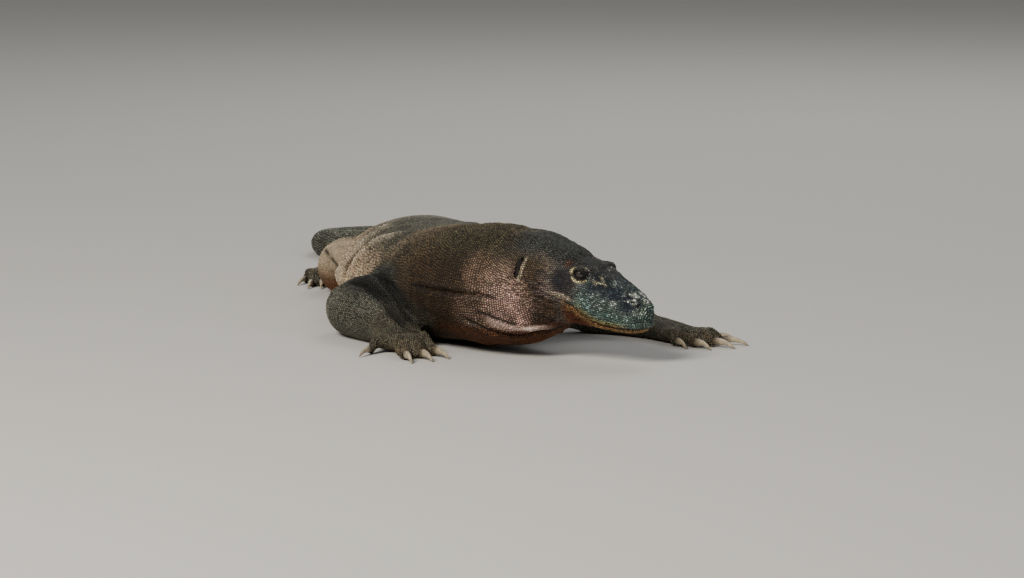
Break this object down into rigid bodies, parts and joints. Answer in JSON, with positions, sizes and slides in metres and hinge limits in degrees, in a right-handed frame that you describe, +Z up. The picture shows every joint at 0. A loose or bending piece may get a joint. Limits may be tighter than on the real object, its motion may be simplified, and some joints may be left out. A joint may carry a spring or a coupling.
{
  "type": "komodo dragon",
  "caption": "Life-size still model of an adult komodo dragon at rest on its belly, head turned to its left and tail curled behind it.",
  "frame": {"origin": "middle of the footprint's bounding box, on the floor the animal lies on", "axes": "+X along the trunk towards the head, +Y to the animal's left, +Z up"},
  "size_m": [1.5525, 0.6195, 0.191],
  "materials": {
    "hide": "dull, finely beaded scales, dusty",
    "head_hide": "dull to satin, finer scales",
    "claw": "horn, satin",
    "eye": "wet gloss",
    "eardrum": "dull membrane"
  },
  "bodies": {
    "root": {"head": "head_hide", "jaw": "head_hide", "neck": "hide", "chest": "hide", "belly": "hide", "pelvis": "hide", "tail_root": "hide", "tail_mid": "hide", "tail_thin": "hide", "tail_tip": "hide", "upper_arm_R": "hide", "forearm_R": "hide", "hand_R": "hide", "thigh_R": "hide", "shin_R": "hide", "foot_R": "hide", "upper_arm_L": "hide", "forearm_L": "hide", "hand_L": "hide", "thigh_L": "hide", "shin_L": "hide", "foot_L": "hide", "eye_L": "eye", "eardrum_L": "eardrum", "eye_R": "eye", "eardrum_R": "eardrum", "claw_hand_R_1": "claw", "claw_hand_R_2": "claw", "claw_hand_R_3": "claw", "claw_hand_R_4": "claw", "claw_hand_R_5": "claw", "claw_hand_L_1": "claw", "claw_hand_L_2": "claw", "claw_hand_L_3": "claw", "claw_hand_L_4": "claw", "claw_hand_L_5": "claw", "claw_foot_R_1": "claw", "claw_foot_R_2": "claw", "claw_foot_R_3": "claw", "claw_foot_R_4": "claw", "claw_foot_R_5": "claw", "claw_foot_L_1": "claw", "claw_foot_L_2": "claw", "claw_foot_L_3": "claw", "claw_foot_L_4": "claw", "claw_foot_L_5": "claw"}
  },
  "joints": []
}
